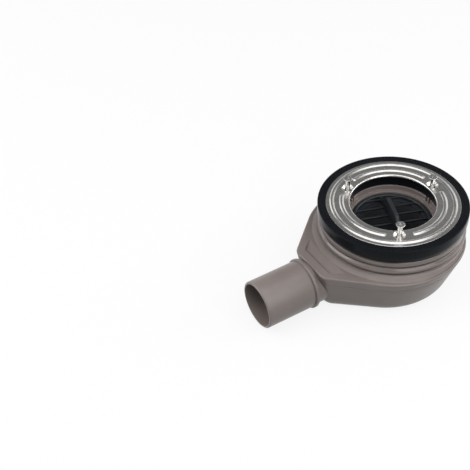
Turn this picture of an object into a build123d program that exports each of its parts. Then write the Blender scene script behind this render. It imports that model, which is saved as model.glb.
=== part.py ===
from build123d import *
from math import acos, atan, atan2, cos, degrees, hypot, radians, sin, tan
import os

# Low shower trap for a 90 mm tray waste hole, millimetres.
# Origin: on the axis of the pot, on the plane that the trap stands on. Outlet along -X, +Z up.

# Neck of the cover, that the body and the rings are measured from
neck_radius = 60.0
groove_depth = 1.5
groove_width = 1.9
band_step = 0.7             # middle band beyond the neck
band_height = 4.3
band_rounding = 0.6
flange_step = 0.5           # flange drawn in from the neck
flange_height = 5.3
flange_thickness = 3.0
shoulder_width = 5.4
shoulder_height = 2.6
shoulder_margin = 0.2

# Body, a teardrop in plan: a round pot with straight sides running to the outlet end
deck_border = 6.2           # pot beyond the neck at the deck
foot_draw = 11.6            # the wall draws in by this much down to the floor
deck_centre_x = -4.5
foot_centre_x = -8.9        # pot centre at the floor, drawn towards the outlet
outlet_reach = 22.0         # outlet end beyond the neck
foot_end_draw = 5.9
deck_end_half = 18.9        # half width of the outlet end
foot_end_half = 15.2
deck_level = 37.8           # deck height on the pot axis
deck_rise = 1.83            # degrees that the deck rises towards the outlet
corner_radius = 10.0        # plan rounding of the outlet end at the deck
foot_corner_radius = 16.0
foot_rounding = 14.0        # rounding between wall and floor
wall = 2.6
deck_thickness = 3.0
deck_edge_rounding = 1.4
seam_drop = 5.6             # level weld seam between bowl and cover, below the deck
seam_groove = 0.2           # shadow groove along the seam
tongue_inset = 0.9          # weld tongue on the bowl's rim
tongue_width = 0.9
tongue_height = 1.2
seam_clearance = 0.15
weir_x = -44.0              # weir that keeps the water seal
weir_thickness = 2.4
weir_crest = 29.3
band_rise = 6.0             # middle band above the deck
form_margin = 5.0

# Wedge recess in the deck, deepest at the outlet end
recess_end_border = 9.5
recess_side_border = 8.1
recess_length = 7.9
recess_depth = 1.6
recess_draft = 45.0

# Screws and thread inserts
screw_circle_radius = 40.3
screw_turn = -1.1           # degrees from the +X axis to the first screw
screw_count = 3
screw_radius = 2.0
screw_head_radius = 4.0
screw_head_rim = 0.4
screw_length = 30.0
right_screw_stand = 8.2     # head tops above the clamp ring's rim
back_screw_stand = 9.6
front_screw_stand = 10.6
cross_length = 4.6
cross_width = 1.0
cross_depth = 1.5
screw_clearance = 0.3
thread_clearance = 0.05
tip_room = 0.4
dimple_radius = 4.9
dimple_depth = 2.3
dimple_room = 0.5
insert_radius = 2.9
insert_length = 9.0
boss_radius = 4.2
boss_floor = 1.2

# Throat, inside the circle of screws
throat_web = 4.3            # from the screw circle in to the throat
ledge_depth = 4.4
ledge_width = 2.7
seat_depth = 10.0
seat_width = 3.1
socket_depth = 7.0
notch_depth = 1.4
notch_width = 1.6
notch_height = 3.0
notch_spread = 8.0          # degrees either side of a screw

# Outlet spigot, DN40
outlet_level = 21.8
spigot_radius = 20.0
spigot_wall = 2.0
spigot_end_x = -131.7
spigot_bevel = 0.8
collar_step = 1.4
collar_length = 3.2
collar_rounding = 1.0
collar_gap = 2.8            # crevice between collar and deck end
root_step = 0.3
tenon_radius = 15.6
tenon_wall = 1.6
tenon_reach = 5.2
funnel_length = 6.0

# Rubber ring
seal_height = 11.0
seal_overhang = 1.7         # rubber beyond the flange
seal_foot_overhang = 0.5
seal_foot_height = 3.5
seal_web = 3.3              # from the screw circle in to the bore
seal_lip_height = 1.3       # lip round the clamp ring
seal_lip_rounding = 0.7
lip_groove_inset = 2.8
lip_groove_pitch = 2.0
lip_groove_count = 2
lip_groove_width = 0.6
lip_groove_depth = 0.4
ring_clearance = 0.3

# Clamp ring
ring_border = 5.2           # from the flange's edge in to the ring's
ring_web = 5.7              # from the screw circle in to the bore
ring_sheet = 1.0
ring_lip_drop = 1.2
ring_lip_width = 1.6
ridge_height = 0.9
ridge_width = 3.6
outer_ridge_inset = 4.8
inner_ridge_step = 1.3      # from the screw circle out
ridge_gap_angle = 34.0      # the inner ridge stops short of each screw

# Strainer and dip tube
basket_clearance = 0.5
rim_width = 3.2
rim_height = 2.9
rim_bevel = 1.0
slat_border = 3.1           # from the rim to the outermost slat
slat_count = 6
slat_width = 1.6
slat_height = 1.9
grip_width = 3.2
grip_half_span = 24.0
grip_half_top = 12.2
grip_height = 13.5
grip_rounding = 4.0
grip_turn = 69.0            # degrees from +X to the grip fin
tube_flange_height = 1.8
gland_wall = 3.3
gland_length = 6.5
tube_wall = 2.0
tube_bottom = 8.8
tube_clearance = 0.5
oring_section = 1.9
oring_gap = 0.05
oring_drop = 3.3
oring_groove_room = 0.15

# Radii and levels that follow from these
band_radius = neck_radius + band_step
flange_radius = neck_radius - flange_step
neck_bore = flange_radius - groove_depth - wall
deck_radius = neck_radius + deck_border
foot_radius = deck_radius - foot_draw
deck_end_x = -neck_radius - outlet_reach
foot_end_x = deck_end_x + foot_end_draw
seam_level = deck_level - seam_drop
band_bottom = deck_level + band_rise
flange_level = band_bottom + band_height + groove_width + flange_height
throat_radius = screw_circle_radius - throat_web
throat_ledge = flange_level - ledge_depth
seat_radius = throat_radius - ledge_width
seat_level = flange_level - seat_depth
socket_radius = seat_radius - seat_width
collar_radius = spigot_radius + collar_step
root_radius = spigot_radius - root_step
seal_radius = flange_radius + seal_overhang
seal_foot_radius = flange_radius + seal_foot_overhang
seal_bore = screw_circle_radius - seal_web
ring_seat = flange_level + seal_height
ring_level = ring_seat + ring_sheet
ring_radius = flange_radius - ring_border
ring_bore = screw_circle_radius - ring_web
outer_ridge_radius = ring_radius - outer_ridge_inset
inner_ridge_radius = screw_circle_radius + inner_ridge_step
screw_stands = (right_screw_stand, back_screw_stand, front_screw_stand)

os.makedirs("parts", exist_ok=True)

low = (Align.CENTER, Align.CENTER, Align.MIN)
high = (Align.CENTER, Align.CENTER, Align.MAX)


def at_level(level, foot, deck):
    return foot + (deck - foot) * level / deck_level


def rising_plane(x, level, rise):
    return Plane(origin=(x, 0, level), x_dir=(cos(radians(rise)), 0, -sin(radians(rise))),
                 z_dir=(sin(radians(rise)), 0, cos(radians(rise))))


def side_touch(level):
    # Direction from the pot's centre to where a straight side touches the round
    end_x = at_level(level, foot_end_x, deck_end_x) - at_level(level, foot_centre_x, deck_centre_x)
    end_half = at_level(level, foot_end_half, deck_end_half)
    return atan2(end_half, end_x) - acos(at_level(level, foot_radius, deck_radius) / hypot(end_x, end_half))


def body_outline(level, inset=0.0):
    radius = at_level(level, foot_radius, deck_radius)
    centre_x = at_level(level, foot_centre_x, deck_centre_x)
    end_x = at_level(level, foot_end_x, deck_end_x)
    end_half = at_level(level, foot_end_half, deck_end_half)
    touch_x = centre_x + radius * cos(side_touch(level))
    touch_y = radius * sin(side_touch(level))
    with BuildSketch(Plane.XY.offset(level)) as outline:
        with BuildLine():
            ThreePointArc((touch_x, -touch_y), (centre_x + radius, 0), (touch_x, touch_y))
            Polyline((touch_x, touch_y), (end_x, end_half), (end_x, -end_half), (touch_x, -touch_y))
        make_face()
        fillet(outline.vertices().group_by(Axis.X)[0], radius=at_level(level, foot_corner_radius, corner_radius))
        if inset > 0:
            offset(amount=-inset, mode=Mode.REPLACE)
    return outline.sketch


def radial_plane(angle):
    return Plane(origin=(0, 0, 0), x_dir=(cos(radians(angle)), sin(radians(angle)), 0),
                 z_dir=(sin(radians(angle)), -cos(radians(angle)), 0))


form_top = flange_level + form_margin
deck_plane = rising_plane(0, deck_level, deck_rise)
deck_end_level = deck_level - deck_end_x * tan(radians(deck_rise))
collar_x = at_level(deck_end_level, foot_end_x, deck_end_x) - collar_gap
tenon_end_x = foot_end_x + tenon_reach
tenon_bore = tenon_radius - tenon_wall
screw_angles = [screw_turn + 360 / screw_count * i for i in range(screw_count)]
lowest_tip = ring_level + min(screw_stands) - screw_length
boss_bottom = lowest_tip - tip_room - boss_floor
basket_radius = seat_radius - basket_clearance
flange_top = seat_level + tube_flange_height
gland_radius = socket_radius - tube_clearance
tube_bore = gland_radius - gland_wall
slat_pitch = 2 * (basket_radius - rim_width - slat_border) / (slat_count - 1)
oring_level = seat_level - oring_drop
oring_outer = socket_radius - oring_gap

seam_outline = body_outline(seam_level)
top_outline = body_outline(form_top)
inner_seam = body_outline(seam_level, wall)
trim_inset = deck_edge_rounding + shoulder_margin

# Outer form of the bowl, with the shadow groove at its rim
with BuildPart() as bowl_block:
    loft(sections=[body_outline(0), body_outline(seam_level - seam_groove)])
    fillet(bowl_block.faces().sort_by(Axis.Z)[0].edges(), radius=foot_rounding)
    extrude(to_extrude=body_outline(seam_level - seam_groove, seam_groove), amount=seam_groove)

# Space inside the bowl, on both sides of the weir
with BuildPart() as bowl_space:
    loft(sections=[body_outline(wall, wall), inner_seam])
    fillet(bowl_space.faces().sort_by(Axis.Z)[0].edges(), radius=foot_rounding - wall)
    with Locations((weir_x, 0, weir_crest)):
        Box(weir_thickness, 4 * foot_radius, 2 * weir_crest, align=high, mode=Mode.SUBTRACT)

# Lower half: tapered teardrop bowl with a weld tongue on its rim and the outlet's lower arch
with BuildPart() as trap_bowl:
    add(bowl_block.part)
    add(bowl_space.part, mode=Mode.SUBTRACT)
    with BuildSketch(Plane.XY.offset(seam_level)):
        add(body_outline(seam_level, tongue_inset))
        add(body_outline(seam_level, tongue_inset + tongue_width), mode=Mode.SUBTRACT)
    extrude(amount=tongue_height)
    with BuildSketch(Plane.YZ.offset(tenon_end_x)):
        with Locations((0, outlet_level)):
            Circle(tenon_radius)
    extrude(amount=2 * deck_end_x, mode=Mode.SUBTRACT)
trap_bowl.part.label = "trap_bowl"
export_step(trap_bowl.part, "parts/trap_bowl.step")

# Outer form of the cover, before the deck is cut
with BuildPart() as cover_block:
    loft(sections=[seam_outline, top_outline])

# Space under the deck and inside the neck
with BuildPart() as cover_space:
    loft(sections=[inner_seam, body_outline(form_top, wall)])
    split(bisect_by=deck_plane.offset(-deck_thickness), keep=Keep.BOTTOM)
    with Locations((0, 0, seam_level)):
        Cylinder(neck_bore, flange_level - flange_thickness - seam_level, align=low)

# Shoulder cone standing on the rising deck, trimmed inside the body's outline
with BuildPart() as shoulder:
    with Locations(deck_plane):
        Cone(neck_radius + shoulder_width, neck_radius - shoulder_width / 2, 1.5 * shoulder_height, align=low)
    loft(sections=[body_outline(seam_level, trim_inset), body_outline(form_top, trim_inset)], mode=Mode.INTERSECT)

# Wedge recess: its floor falls from the deck towards the outlet end
recess_end_x = deck_end_x + recess_end_border
recess_start_x = recess_end_x + recess_length
recess_fall = degrees(atan(recess_depth / recess_length))
recess_plane = rising_plane(recess_start_x, deck_level - recess_start_x * tan(radians(deck_rise)),
                            deck_rise - recess_fall)
side = side_touch(deck_level)
side_reach = deck_radius - recess_side_border
recess_start_half = (side_reach - cos(side) * (recess_start_x - deck_centre_x)) / sin(side)
recess_end_half = (side_reach - cos(side) * (recess_end_x - deck_centre_x)) / sin(side)

# Upper half: skirt and deck, shoulder, banded neck, flange, throat and screw bosses
with BuildPart() as trap_cover:
    add(cover_block.part)
    split(bisect_by=deck_plane, keep=Keep.BOTTOM)
    fillet(trap_cover.faces().sort_by(Axis.Z)[-1].edges(), radius=deck_edge_rounding)
    with BuildSketch(recess_plane):
        with BuildLine():
            Polyline((0, recess_start_half), (-recess_length, recess_end_half), (-recess_length, -recess_end_half),
                     (0, -recess_start_half), close=True)
        make_face()
    extrude(amount=recess_depth, taper=-recess_draft, mode=Mode.SUBTRACT)
    add(shoulder.part)
    with BuildSketch(Plane.XZ) as neck_section:
        with BuildLine():
            Polyline((0, seam_level + wall), (neck_radius, seam_level + wall),
                     (neck_radius, band_bottom - groove_width),
                     (neck_radius - groove_depth, band_bottom - groove_width),
                     (neck_radius - groove_depth, band_bottom), (band_radius, band_bottom),
                     (band_radius, band_bottom + band_height),
                     (flange_radius - groove_depth, band_bottom + band_height),
                     (flange_radius - groove_depth, band_bottom + band_height + groove_width),
                     (flange_radius, band_bottom + band_height + groove_width),
                     (flange_radius, flange_level), (0, flange_level), close=True)
        make_face()
        band_corners = neck_section.vertices().filter_by(lambda v: v.X > neck_radius - groove_depth / 2)
        fillet(band_corners.filter_by(lambda v: v.Y > seam_level + 2 * wall), radius=band_rounding)
    revolve(axis=Axis.Z)
    add(cover_space.part, mode=Mode.SUBTRACT)
    with BuildSketch(Plane.XZ) as throat_section:
        with BuildLine():
            Polyline((throat_radius, flange_level), (throat_radius, throat_ledge), (seat_radius, throat_ledge),
                     (seat_radius, seat_level), (socket_radius, seat_level),
                     (socket_radius, seat_level - socket_depth), (socket_radius + wall, seat_level - socket_depth),
                     (socket_radius + wall, seat_level - wall), (throat_radius + wall, seat_level - wall),
                     (throat_radius + wall, flange_level), close=True)
        make_face()
    revolve(axis=Axis.Z)
    with PolarLocations(screw_circle_radius, screw_count, start_angle=screw_turn):
        with Locations((0, 0, boss_bottom)):
            Cylinder(boss_radius, flange_level - boss_bottom, align=low)
    with BuildSketch(Plane.XY.offset(flange_level)):
        Circle(throat_radius)
    extrude(amount=throat_ledge - flange_level, mode=Mode.SUBTRACT)
    with PolarLocations(screw_circle_radius, screw_count, start_angle=screw_turn):
        with Locations((0, 0, flange_level)):
            Cylinder(insert_radius, insert_length, align=high, mode=Mode.SUBTRACT)
            Cylinder(screw_radius + screw_clearance, flange_level - lowest_tip + tip_room, align=high,
                     mode=Mode.SUBTRACT)
    for turn in (-notch_spread, notch_spread):
        with PolarLocations(throat_radius, screw_count, start_angle=screw_turn + turn):
            with Locations((0, 0, flange_level)):
                Box(2 * notch_depth, notch_width, 2 * notch_height, mode=Mode.SUBTRACT)
    with BuildSketch(Plane.XY.offset(seam_level)):
        add(body_outline(seam_level, tongue_inset - seam_clearance))
        add(body_outline(seam_level, tongue_inset + tongue_width + seam_clearance), mode=Mode.SUBTRACT)
    extrude(amount=tongue_height + seam_clearance, mode=Mode.SUBTRACT)
    with BuildSketch(Plane.YZ.offset(tenon_end_x)):
        with Locations((0, outlet_level)):
            Circle(tenon_radius)
    extrude(amount=2 * deck_end_x, mode=Mode.SUBTRACT)
trap_cover.part.label = "trap_cover"
export_step(trap_cover.part, "parts/trap_cover.step")

# DN40 spigot: bevelled pipe, stop collar, root against the body and a tenon through its end wall
outlet_axis = Axis((0, 0, outlet_level), (1, 0, 0))
with BuildPart() as outlet_spigot:
    with BuildSketch(Plane.YZ.offset(collar_x - collar_length / 2)):
        with Locations((0, outlet_level)):
            Circle(root_radius)
    extrude(amount=foot_end_x + foot_rounding - collar_x)
    add(bowl_block.part, mode=Mode.SUBTRACT)
    add(cover_block.part, mode=Mode.SUBTRACT)
    with BuildSketch(Plane.XZ) as pipe_section:
        with Locations((spigot_end_x, outlet_level)):
            Rectangle(collar_x - spigot_end_x, spigot_radius, align=(Align.MIN, Align.MIN))
        with Locations((collar_x, outlet_level)):
            Rectangle(collar_length, collar_radius, align=(Align.MAX, Align.MIN))
        crest = pipe_section.vertices().filter_by(lambda v: v.Y > outlet_level + spigot_radius + collar_rounding / 2)
        fillet(crest, radius=collar_rounding)
        bevel = pipe_section.vertices().sort_by(Axis.X)[:2].sort_by(Axis.Y)[-1]
        chamfer(bevel, length=spigot_bevel)
    revolve(axis=outlet_axis)
    with BuildSketch(Plane.YZ.offset(tenon_end_x)):
        with Locations((0, outlet_level)):
            Circle(tenon_radius)
    extrude(amount=collar_x - tenon_end_x)
    bore_radius = spigot_radius - spigot_wall
    with BuildSketch(Plane.XZ):
        with BuildLine():
            Polyline((spigot_end_x, outlet_level), (spigot_end_x, outlet_level + bore_radius),
                     (collar_x - collar_length - funnel_length, outlet_level + bore_radius),
                     (collar_x - collar_length, outlet_level + tenon_bore), (tenon_end_x, outlet_level + tenon_bore),
                     (tenon_end_x, outlet_level), close=True)
        make_face()
    revolve(axis=outlet_axis, mode=Mode.SUBTRACT)
outlet_spigot.part.label = "outlet_spigot"
export_step(outlet_spigot.part, "parts/outlet_spigot.step")

# Rubber ring on the flange, with a lip round the clamp ring
seal_top = ring_seat + seal_lip_height
with BuildPart() as seal_ring:
    with BuildSketch(Plane.XZ) as seal_section:
        with BuildLine():
            Polyline((seal_bore, flange_level), (seal_foot_radius, flange_level),
                     (seal_radius, flange_level + seal_foot_height), (seal_radius, seal_top),
                     (ring_radius + ring_clearance, seal_top), (ring_radius + ring_clearance, ring_seat),
                     (seal_bore, ring_seat), close=True)
        make_face()
        fillet(seal_section.vertices().group_by(Axis.Y)[-1], radius=seal_lip_rounding)
        for i in range(lip_groove_count):
            with Locations((seal_radius - lip_groove_inset - i * lip_groove_pitch, seal_top)):
                Rectangle(lip_groove_width, 2 * lip_groove_depth, mode=Mode.SUBTRACT)
    revolve(axis=Axis.Z)
    with PolarLocations(screw_circle_radius, screw_count, start_angle=screw_turn):
        with Locations((0, 0, ring_seat)):
            Cylinder(screw_radius + 2 * screw_clearance, ring_seat - flange_level, align=high, mode=Mode.SUBTRACT)
            Cylinder(dimple_radius + ring_sheet + dimple_room, dimple_depth + dimple_room, align=high,
                     mode=Mode.SUBTRACT)
seal_ring.part.label = "seal_ring"
export_step(seal_ring.part, "parts/seal_ring.step")

# Ridges pressed up in the clamp ring: a full outer one and three inner arcs with domed ends
ridge_curve = (ridge_width ** 2 / 4 + ridge_height ** 2) / (2 * ridge_height)
ridge_centre = ring_level + ridge_height - ridge_curve
ridge_arc = 360 / screw_count - ridge_gap_angle
with BuildPart() as ridges:
    with BuildSketch(Plane.XZ):
        with Locations((outer_ridge_radius, ridge_centre)):
            Circle(ridge_curve)
    revolve(axis=Axis.Z)
    for angle in screw_angles:
        with BuildSketch(radial_plane(angle + ridge_gap_angle / 2)):
            with Locations((inner_ridge_radius, ridge_centre)):
                Circle(ridge_curve)
        revolve(axis=Axis.Z, revolution_arc=ridge_arc)
        for end in (ridge_gap_angle / 2, ridge_gap_angle / 2 + ridge_arc):
            with Locations((inner_ridge_radius * cos(radians(angle + end)),
                            inner_ridge_radius * sin(radians(angle + end)), ridge_centre)):
                Sphere(ridge_curve)
    split(bisect_by=Plane.XY.offset(ring_level - ring_sheet / 2), keep=Keep.TOP)

# Pressed clamp ring with a rolled bore and three countersunk dimples
hole_radius = screw_radius + screw_clearance
dimple_hole = dimple_radius - dimple_depth
with BuildPart() as clamp_ring:
    with BuildSketch(Plane.XZ) as ring_section:
        with BuildLine():
            Polyline((ring_radius, ring_seat), (ring_radius, ring_level), (ring_bore, ring_level),
                     (ring_bore, ring_seat - ring_lip_drop), (ring_bore + ring_sheet, ring_seat - ring_lip_drop),
                     (ring_bore + ring_lip_width, ring_seat), close=True)
        make_face()
        rolled = ring_section.vertices().group_by(Axis.Y)[-1].sort_by(Axis.X)[0]
        fillet(rolled, radius=ring_lip_width)
    revolve(axis=Axis.Z)
    add(ridges.part)
    with PolarLocations(screw_circle_radius, screw_count, start_angle=screw_turn):
        with Locations((0, 0, ring_seat)):
            Cone(dimple_hole + ring_sheet, dimple_radius + ring_sheet, dimple_depth, align=high)
        with Locations((0, 0, ring_level)):
            Cone(dimple_hole, dimple_radius, dimple_depth, align=high, mode=Mode.SUBTRACT)
            Cylinder(hole_radius, 2 * (dimple_depth + ring_sheet), mode=Mode.SUBTRACT)
clamp_ring.part.label = "clamp_ring"
export_step(clamp_ring.part, "parts/clamp_ring.step")

# One countersunk screw, head top at the origin
with BuildPart() as screw:
    head_cone = screw_head_radius - screw_radius
    Cylinder(screw_head_radius, screw_head_rim, align=high)
    with Locations((0, 0, -screw_head_rim)):
        Cone(screw_radius, screw_head_radius, head_cone, align=high)
    Cylinder(screw_radius, screw_length, align=high)
    chamfer(screw.faces().sort_by(Axis.Z)[0].edges(), length=screw_radius / 4)
    Box(cross_length, cross_width, 2 * cross_depth, mode=Mode.SUBTRACT)
    Box(cross_width, cross_length, 2 * cross_depth, mode=Mode.SUBTRACT)

with BuildPart() as clamp_screws:
    for angle, stand in zip(screw_angles, screw_stands):
        with Locations((screw_circle_radius * cos(radians(angle)), screw_circle_radius * sin(radians(angle)),
                        ring_level + stand)):
            add(screw.part, rotation=(0, 0, angle))
clamp_screws.part.label = "clamp_screws"
export_step(clamp_screws.part, "parts/clamp_screws.step")

# Brass thread inserts in the bosses under the flange
with BuildPart() as screw_inserts:
    with PolarLocations(screw_circle_radius, screw_count, start_angle=screw_turn):
        with Locations((0, 0, flange_level)):
            Cylinder(insert_radius, insert_length, align=high)
            Cylinder(screw_radius + thread_clearance, insert_length, align=high, mode=Mode.SUBTRACT)
screw_inserts.part.label = "screw_inserts"
export_step(screw_inserts.part, "parts/screw_inserts.step")

# Dip tube hanging on the throat's seat, with a gland for its O-ring
with BuildPart() as dip_tube:
    with BuildSketch(Plane.XZ) as tube_section:
        with BuildLine():
            Polyline((tube_bore, flange_top), (basket_radius, flange_top), (basket_radius, seat_level),
                     (gland_radius, seat_level), (gland_radius, seat_level - gland_length),
                     (tube_bore + tube_wall, seat_level - gland_length), (tube_bore + tube_wall, tube_bottom),
                     (tube_bore, tube_bottom), close=True)
        make_face()
        with Locations((oring_outer - oring_section, oring_level)):
            Rectangle(oring_section, oring_section + 2 * oring_groove_room, align=(Align.MIN, Align.CENTER),
                      mode=Mode.SUBTRACT)
    revolve(axis=Axis.Z)
dip_tube.part.label = "dip_tube"
export_step(dip_tube.part, "parts/dip_tube.step")

with BuildPart() as dip_tube_seal:
    with BuildSketch(Plane.XZ):
        with Locations((oring_outer - oring_section / 2, oring_level)):
            Circle(oring_section / 2)
    revolve(axis=Axis.Z)
dip_tube_seal.part.label = "dip_tube_seal"
export_step(dip_tube_seal.part, "parts/dip_tube_seal.step")

# Strainer: bevelled rim, cross slats, a spine and a tall grip fin
slat_plane = Plane(origin=(0, 0, flange_top), x_dir=(sin(radians(grip_turn)), -cos(radians(grip_turn)), 0),
                   z_dir=(0, 0, 1))
grip_plane = radial_plane(grip_turn)
slat_top = flange_top + slat_height
with BuildPart() as strainer:
    with BuildSketch(slat_plane):
        with GridLocations(0, slat_pitch, 1, slat_count):
            Rectangle(2 * basket_radius, slat_width)
        Rectangle(grip_width, 2 * basket_radius)
        Circle(basket_radius - rim_width / 2, mode=Mode.INTERSECT)
    extrude(amount=slat_height)
    with BuildSketch(Plane.XZ) as rim_section:
        with Locations((basket_radius, flange_top)):
            Rectangle(rim_width, rim_height, align=(Align.MAX, Align.MIN))
        chamfer(rim_section.vertices().group_by(Axis.Y)[-1].sort_by(Axis.X)[0], length=rim_bevel)
    revolve(axis=Axis.Z)
    with BuildSketch(grip_plane) as grip_section:
        with BuildLine():
            Polyline((-grip_half_span, slat_top), (-grip_half_top, slat_top + grip_height),
                     (grip_half_top, slat_top + grip_height), (grip_half_span, slat_top), close=True)
        make_face()
        fillet(grip_section.vertices().group_by(Axis.Y)[-1], radius=grip_rounding)
    extrude(amount=grip_width / 2, both=True)
strainer.part.label = "strainer"
export_step(strainer.part, "parts/strainer.step")
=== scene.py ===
import bpy
import bmesh
import math
from mathutils import Matrix, Quaternion, Vector


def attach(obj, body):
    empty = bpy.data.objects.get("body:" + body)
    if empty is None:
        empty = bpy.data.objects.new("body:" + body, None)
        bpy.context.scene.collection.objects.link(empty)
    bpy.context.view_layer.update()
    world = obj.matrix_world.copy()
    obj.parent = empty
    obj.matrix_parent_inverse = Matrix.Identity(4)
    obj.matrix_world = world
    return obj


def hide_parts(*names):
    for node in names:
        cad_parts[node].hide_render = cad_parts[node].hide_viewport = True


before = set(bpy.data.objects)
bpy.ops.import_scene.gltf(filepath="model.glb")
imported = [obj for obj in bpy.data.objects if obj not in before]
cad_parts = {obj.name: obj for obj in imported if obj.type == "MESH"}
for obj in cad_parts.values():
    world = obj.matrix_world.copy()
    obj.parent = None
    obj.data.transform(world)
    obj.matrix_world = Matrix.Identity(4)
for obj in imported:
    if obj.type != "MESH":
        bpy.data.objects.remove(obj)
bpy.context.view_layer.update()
scene = bpy.context.scene
mm = 0.001
print("frame loaded:", sorted(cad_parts))


# shader and geometry nodes

def feed(tree, node, inputs):  # a value is set, another node's output is linked
    for key, value in inputs.items():
        if isinstance(value, bpy.types.NodeSocket):
            tree.links.new(value, node.inputs[key])
        else:
            node.inputs[key].default_value = value


def addNode(tree, kind, inputs=None, **settings):
    made = tree.nodes.new(kind)
    for key, value in settings.items():
        setattr(made, key, value)
    feed(tree, made, inputs or {})
    return made


def mathOf(tree, operation, *values):
    return addNode(tree, "ShaderNodeMath", dict(enumerate(values)), operation=operation).outputs["Value"]


def axesOf(tree, vector):
    return addNode(tree, "ShaderNodeSeparateXYZ", {"Vector": vector}).outputs


def noiseOf(tree, coords, scale, detail, rough=0.5):
    inputs = {"Vector": coords, "Scale": scale, "Detail": detail, "Roughness": rough}
    return addNode(tree, "ShaderNodeTexNoise", inputs).outputs["Fac"]


rampStops = (0.35, 0.65)


def rampOf(tree, fac, low, high, stops=rampStops):
    made = addNode(tree, "ShaderNodeValToRGB", {"Fac": fac})
    for stop, position, colour in zip(made.color_ramp.elements, stops, (low, high)):
        stop.position = position
        stop.color = (*colour, 1)
    return made.outputs["Color"]


def rangeOf(tree, value, low, high, start=0.3, end=0.7):
    inputs = {"Value": value, "From Min": start, "From Max": end, "To Min": low, "To Max": high}
    return addNode(tree, "ShaderNodeMapRange", inputs).outputs["Result"]


def bumpOf(tree, height, strength, distance, under=None):
    inputs = {"Strength": strength, "Distance": distance, "Height": height}
    if under is not None:
        inputs["Normal"] = under
    return addNode(tree, "ShaderNodeBump", inputs).outputs["Normal"]


def startTree(name, source, sizes):  # one geometry in, named sizes and a finish, one geometry out
    tree = bpy.data.node_groups.new(name, "GeometryNodeTree")
    sockets = tree.interface
    sockets.new_socket(source, in_out="INPUT", socket_type="NodeSocketGeometry")
    keys = {}
    for label, kind in (*sizes, ("Finish", "Material")):
        keys[label] = sockets.new_socket(label, in_out="INPUT", socket_type="NodeSocket" + kind).identifier
    sockets.new_socket("Made", in_out="OUTPUT", socket_type="NodeSocketGeometry")
    return tree, keys, addNode(tree, "NodeGroupInput").outputs


def endTree(tree, given, geometry):  # made real and given its finish
    real = addNode(tree, "GeometryNodeRealizeInstances", {"Geometry": geometry})
    inputs = {"Geometry": real.outputs["Geometry"], "Material": given["Finish"]}
    finish = addNode(tree, "GeometryNodeSetMaterial", inputs)
    addNode(tree, "NodeGroupOutput", {"Made": finish.outputs["Geometry"]})


def runTree(made, tree, keys, values):  # inputs by socket identifier, then a plain mesh
    live = made.modifiers.new(tree.name, "NODES")
    live.node_group = tree
    for label, value in values.items():
        live[keys[label]] = value
    plainMesh(made)


# meshes, in mm

def pick(size, names):  # several sizes of a piece at once
    return [size[name] for name in names.split()]


def roundAngles(sides):
    return [2 * math.pi * i / sides for i in range(sides)]


def roundCorners(corners, steps):  # (r, z, rounding) corners to a line of points
    line = []
    for i, (r, z, rounding) in enumerate(corners):
        here = Vector((r, z))
        if rounding <= 0:
            line.append((r, z))
            continue
        before = Vector(corners[i - 1][:2]) - here
        after = Vector(corners[(i + 1) % len(corners)][:2]) - here
        half = before.angle(after) / 2
        reach = min(rounding / math.tan(half), 0.48 * before.length, 0.48 * after.length)  # under half a side
        radius = reach * math.tan(half)
        inward = (before.normalized() + after.normalized()).normalized()
        centre = here + inward * (radius / math.sin(half))
        first = here + before.normalized() * reach - centre
        last = here + after.normalized() * reach - centre
        startAngle = math.atan2(first.y, first.x)
        turn = (math.atan2(last.y, last.x) - startAngle + math.pi) % (2 * math.pi) - math.pi
        for k in range(steps + 1):
            angle = startAngle + turn * k / steps
            line.append((centre.x + radius * math.cos(angle), centre.y + radius * math.sin(angle)))
    return line


def meshOf(name, points, faces, edges=()):
    mesh = bpy.data.meshes.new(name)
    mesh.from_pydata([(x * mm, y * mm, z * mm) for x, y, z in points], edges, faces)
    return mesh


def gridMesh(name, columns, loop=True, firstPole=None, lastPole=None):  # columns of points, in a round
    rows = len(columns[0])
    count = len(columns)
    points = [p for column in columns for p in column]
    faces = []
    for c in range(count):
        here, there = c * rows, (c + 1) % count * rows
        for r in range(rows if loop else rows - 1):
            after = (r + 1) % rows
            faces.append((here + r, there + r, there + after, here + after))
    for pole, row in ((firstPole, 0), (lastPole, rows - 1)):
        if pole is not None:
            points.append(pole)
            for c in range(count):
                faces.append((c * rows + row, (c + 1) % count * rows + row, len(points) - 1))
    return meshOf(name, points, faces)


def prismMesh(name, columns):  # closed loops of points, joined one after another, with flat ends
    rows, last = len(columns[0]), len(columns) - 1
    faces = []
    for c in range(last):
        for r in range(rows):
            after = (r + 1) % rows
            faces.append((c * rows + r, c * rows + after, (c + 1) * rows + after, (c + 1) * rows + r))
    faces += [tuple(range(rows - 1, -1, -1)), tuple(range(last * rows, (last + 1) * rows))]
    return meshOf(name, [p for column in columns for p in column], faces)


def tidyMesh(mesh, angle=32):  # merged, facing outwards, sharp past the angle
    work = bmesh.new()
    work.from_mesh(mesh)
    bmesh.ops.remove_doubles(work, verts=work.verts, dist=0.002 * mm)
    bmesh.ops.recalc_face_normals(work, faces=work.faces)
    work.to_mesh(mesh)
    work.free()
    mesh.shade_smooth()
    mesh.set_sharp_from_angle(angle=math.radians(angle))
    return mesh


def spunLine(line, angle, place=(0, 0)):  # (r, z) line at an angle about an upright axis
    return [(place[0] + r * math.cos(angle), place[1] + r * math.sin(angle), z) for r, z in line]


def turnedMesh(line, sides, place=(0, 0)):  # (r, z) line turned about an upright axis, closed at both ends
    columns = [spunLine(line, angle, place) for angle in roundAngles(sides)]
    return tidyMesh(gridMesh("turned", columns, False, (*place, line[0][1]), (*place, line[-1][1])))


def boxMesh(size, matrix):
    work = bmesh.new()
    bmesh.ops.create_cube(work, size=1)
    bmesh.ops.scale(work, verts=work.verts, vec=[s * mm for s in size])
    bmesh.ops.transform(work, verts=work.verts, matrix=matrix)
    mesh = bpy.data.meshes.new("box")
    work.to_mesh(mesh)
    work.free()
    return mesh


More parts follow.
